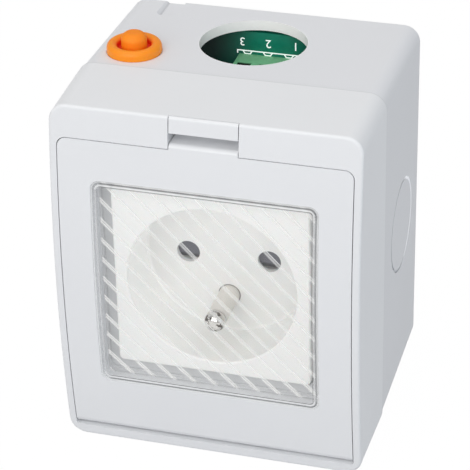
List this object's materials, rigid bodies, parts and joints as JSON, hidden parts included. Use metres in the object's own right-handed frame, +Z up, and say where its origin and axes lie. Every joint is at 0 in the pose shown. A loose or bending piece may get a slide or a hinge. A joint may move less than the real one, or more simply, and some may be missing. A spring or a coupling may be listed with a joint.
{
  "type": "surface-mount smart socket box",
  "caption": "Splash-proof surface-mount smart socket with a sprung lid, a clear ribbed window, a push button and a cable hole.",
  "frame": {"origin": "under the middle of the box, on the face it stands on in the picture", "axes": "+X to the right seen from the lid, +Y from the lid to the wall side, +Z up to the face with the cable hole and the button"},
  "size_m": [0.0702, 0.061, 0.0906],
  "materials": {
    "shell_plastic": "fine satin",
    "module_plastic": "gloss",
    "window_plastic": "clear, ribbed",
    "seal_rubber": "soft grey",
    "button_rubber": "translucent orange",
    "shutter_plastic": "satin",
    "brass": "plain",
    "plated_steel": "zinc plated",
    "nickel_pin": "nickel plated",
    "board": "solder mask",
    "terminal_green": "satin",
    "dark_plastic": "satin",
    "white_plastic": "satin",
    "blue_ceramic": "dipped",
    "coil_wire": "enamelled copper"
  },
  "bodies": {
    "box": {"rear_box": "shell_plastic", "front_cover": "shell_plastic", "shell_seal": "seal_rubber", "shell_screws": "plated_steel", "lid_seal": "seal_rubber", "socket_body": "module_plastic", "socket_back": "module_plastic", "shutter_spring": "plated_steel", "live_contact": "brass", "neutral_contact": "brass", "earth_pin": "nickel_pin", "earth_strap": "brass", "socket_screws": "plated_steel", "main_board": "board", "board_screws": "plated_steel", "terminal_block": "terminal_green", "terminal_clamps": "plated_steel", "terminal_screws": "plated_steel", "relay": "dark_plastic", "power_module": "dark_plastic", "film_capacitor": "white_plastic", "smoothing_capacitors": "dark_plastic", "varistor": "blue_ceramic", "fuse": "dark_plastic", "filter_coil": "coil_wire", "radio_board": "board", "radio_shield": "plated_steel", "button_board": "board", "board_header": "dark_plastic", "button_board_screws": "plated_steel", "tact_switch": "dark_plastic", "button_boot": "button_rubber"},
    "lid": {"lid_frame": "shell_plastic", "lid_window": "window_plastic", "hinge_pins": "plated_steel", "hinge_spring": "plated_steel"},
    "shutter": {"socket_shutter": "shutter_plastic"},
    "button": {"button_cap": "button_rubber", "switch_plunger": "dark_plastic"}
  },
  "joints": [
    {"name": "lid_hinge", "type": "hinge", "parent": "box", "child": "lid", "pos_m": [0, -0.02588, 0.0053], "axis": [1, 0, 0], "range_deg": [0, 90], "stiffness_Nm_per_rad": 0.02, "springref_deg": -28.65},
    {"name": "shutter_slide", "type": "slide", "parent": "box", "child": "shutter", "axis": [0, 0, 1], "range_m": [0, 0.0062], "stiffness_N_per_m": 60, "springref_m": -0.003, "deforming": ["shutter_spring"]},
    {"name": "button_press", "type": "slide", "parent": "box", "child": "button", "axis": [0, 0, -1], "range_m": [0, 0.0008], "stiffness_N_per_m": 1500, "springref_m": -0.0004}
  ]
}
